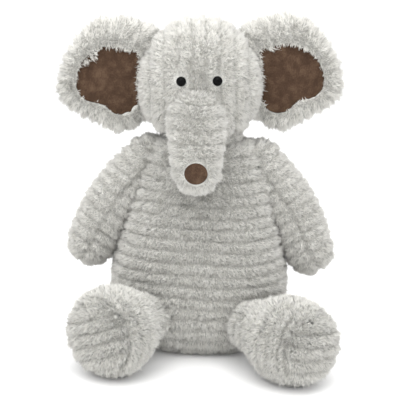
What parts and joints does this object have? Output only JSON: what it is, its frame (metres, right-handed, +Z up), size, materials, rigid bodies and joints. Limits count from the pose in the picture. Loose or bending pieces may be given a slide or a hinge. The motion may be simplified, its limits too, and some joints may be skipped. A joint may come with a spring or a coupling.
{
  "type": "stuffed elephant",
  "caption": "Seated soft toy elephant in pale grey ribbed plush, with brown suede ear linings and trunk tip, a jointed head, trunk, ears, arms, legs and tail, and a weighted base.",
  "frame": {"origin": "On the floor, in the middle of the torso's flat sitting face.", "axes": "+Z up, the face looks along -Y, the toy's own left side is +X."},
  "size_m": [0.2527, 0.2164, 0.3085],
  "materials": {
    "grey_plush": "long-pile ribbed plush, matt",
    "brown_suede": "short-nap suede cloth, matt",
    "eye_plastic": "polished black",
    "washer_plastic": "moulded",
    "wadding": "loose polyester wadding",
    "bag_cloth": "fine woven cloth",
    "beads": "small round pellets",
    "label_tape": "satin tape, blank"
  },
  "bodies": {
    "torso": {"torso_front_panel": "grey_plush", "torso_back_panel": "grey_plush", "torso_filling": "wadding", "bead_bag": "bag_cloth", "bead_fill": "beads", "care_label": "label_tape"},
    "neck": {"neck_filling": "wadding"},
    "head": {"head_front_panel": "grey_plush", "head_back_panel": "grey_plush", "head_filling": "wadding", "eye_left": "eye_plastic", "eye_right": "eye_plastic", "eye_washer_left": "washer_plastic", "eye_washer_right": "washer_plastic"},
    "trunk": {"trunk_cover": "grey_plush", "trunk_filling": "wadding", "trunk_tip_patch": "brown_suede"},
    "ear_left": {"ear_left_front_panel": "grey_plush", "ear_left_back_panel": "grey_plush", "ear_left_padding": "wadding", "ear_left_lining": "brown_suede"},
    "ear_right": {"ear_right_front_panel": "grey_plush", "ear_right_back_panel": "grey_plush", "ear_right_padding": "wadding", "ear_right_lining": "brown_suede"},
    "arm_left": {"arm_left_cover": "grey_plush", "arm_left_filling": "wadding"},
    "arm_right": {"arm_right_cover": "grey_plush", "arm_right_filling": "wadding"},
    "leg_left": {"leg_left_cover": "grey_plush", "sole_left_panel": "grey_plush", "leg_left_filling": "wadding"},
    "leg_right": {"leg_right_cover": "grey_plush", "sole_right_panel": "grey_plush", "leg_right_filling": "wadding"},
    "tail": {"tail": "grey_plush"}
  },
  "joints": [
    {"name": "neck_turn", "type": "hinge", "parent": "torso", "child": "neck", "pos_m": [0, 0, 0.2], "axis": [0, 0, 1], "range_deg": [-30, 30], "stiffness_Nm_per_rad": 0.08},
    {"name": "head_nod", "type": "hinge", "parent": "neck", "child": "head", "pos_m": [0, 0, 0.2], "axis": [1, 0, 0], "range_deg": [-15, 8], "stiffness_Nm_per_rad": 0.25},
    {"name": "trunk_swing", "type": "hinge", "parent": "head", "child": "trunk", "pos_m": [-0.00533, -0.041, 0.22374], "axis": [-0.9984, 0, -0.0558], "range_deg": [0, 40], "stiffness_Nm_per_rad": 0.03},
    {"name": "ear_left_flap", "type": "hinge", "parent": "head", "child": "ear_left", "pos_m": [0.05564, 0, 0.2582], "axis": [-0.0558, 0, 0.9984], "range_deg": [-35, 35], "stiffness_Nm_per_rad": 0.01},
    {"name": "ear_right_flap", "type": "hinge", "parent": "head", "child": "ear_right", "pos_m": [-0.06977, 0, 0.25118], "axis": [0.0558, 0, -0.9984], "range_deg": [-35, 35], "stiffness_Nm_per_rad": 0.01},
    {"name": "arm_left_swing", "type": "hinge", "parent": "torso", "child": "arm_left", "pos_m": [0.049, 0.002, 0.172], "axis": [-1, 0, 0], "range_deg": [-30, 80], "stiffness_Nm_per_rad": 0.03},
    {"name": "arm_right_swing", "type": "hinge", "parent": "torso", "child": "arm_right", "pos_m": [-0.049, 0.002, 0.172], "axis": [-1, 0, 0], "range_deg": [-30, 80], "stiffness_Nm_per_rad": 0.03},
    {"name": "leg_left_lift", "type": "hinge", "parent": "torso", "child": "leg_left", "pos_m": [0.047, -0.049, 0.039], "axis": [-0.788, -0.6157, 0], "range_deg": [-20, 12], "stiffness_Nm_per_rad": 0.12},
    {"name": "leg_right_lift", "type": "hinge", "parent": "torso", "child": "leg_right", "pos_m": [-0.047, -0.049, 0.039], "axis": [-0.788, 0.6157, 0], "range_deg": [-20, 12], "stiffness_Nm_per_rad": 0.12},
    {"name": "tail_wag", "type": "hinge", "parent": "torso", "child": "tail", "pos_m": [0, 0.057, 0.044], "axis": [1, 0, 0], "range_deg": [-10, 45], "stiffness_Nm_per_rad": 0.002}
  ]
}
